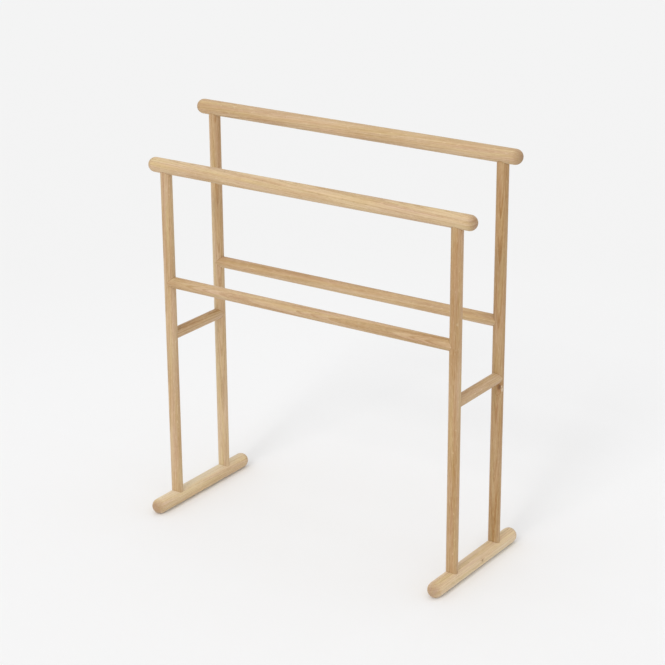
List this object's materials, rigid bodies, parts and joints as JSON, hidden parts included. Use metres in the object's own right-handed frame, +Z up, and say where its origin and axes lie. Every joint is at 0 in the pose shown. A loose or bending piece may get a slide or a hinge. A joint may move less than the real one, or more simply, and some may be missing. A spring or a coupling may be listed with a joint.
{
  "type": "towel stand",
  "caption": "Freestanding towel stand of round oak bars: a low front frame and a taller rear frame with top and mid rails, joined by cross rails and domed feet.",
  "frame": {"origin": "on the floor, under the middle of the stand", "axes": "+Z up, +X along the rails to the stand's right, -Y towards the lower front frame"},
  "size_m": [0.8, 0.331, 0.884],
  "materials": {
    "oak": "light natural oak, clear matt oil, straight open grain along each bar",
    "pin_wood": "plain unfinished hardwood dowel pin"
  },
  "bodies": {
    "root": {"front_top_rail": "oak", "rear_top_rail": "oak", "front_mid_rail": "oak", "rear_mid_rail": "oak", "left_cross_rail": "oak", "right_cross_rail": "oak", "front_left_post": "oak", "front_right_post": "oak", "rear_left_post": "oak", "rear_right_post": "oak", "left_foot": "oak", "right_foot": "oak", "front_left_post_top_pin": "pin_wood", "front_left_post_foot_pin": "pin_wood", "front_mid_rail_left_pin": "pin_wood", "left_cross_rail_front_pin": "pin_wood", "front_right_post_top_pin": "pin_wood", "front_right_post_foot_pin": "pin_wood", "front_mid_rail_right_pin": "pin_wood", "right_cross_rail_front_pin": "pin_wood", "rear_left_post_top_pin": "pin_wood", "rear_left_post_foot_pin": "pin_wood", "rear_mid_rail_left_pin": "pin_wood", "left_cross_rail_rear_pin": "pin_wood", "rear_right_post_top_pin": "pin_wood", "rear_right_post_foot_pin": "pin_wood", "rear_mid_rail_right_pin": "pin_wood", "right_cross_rail_rear_pin": "pin_wood"}
  },
  "joints": []
}
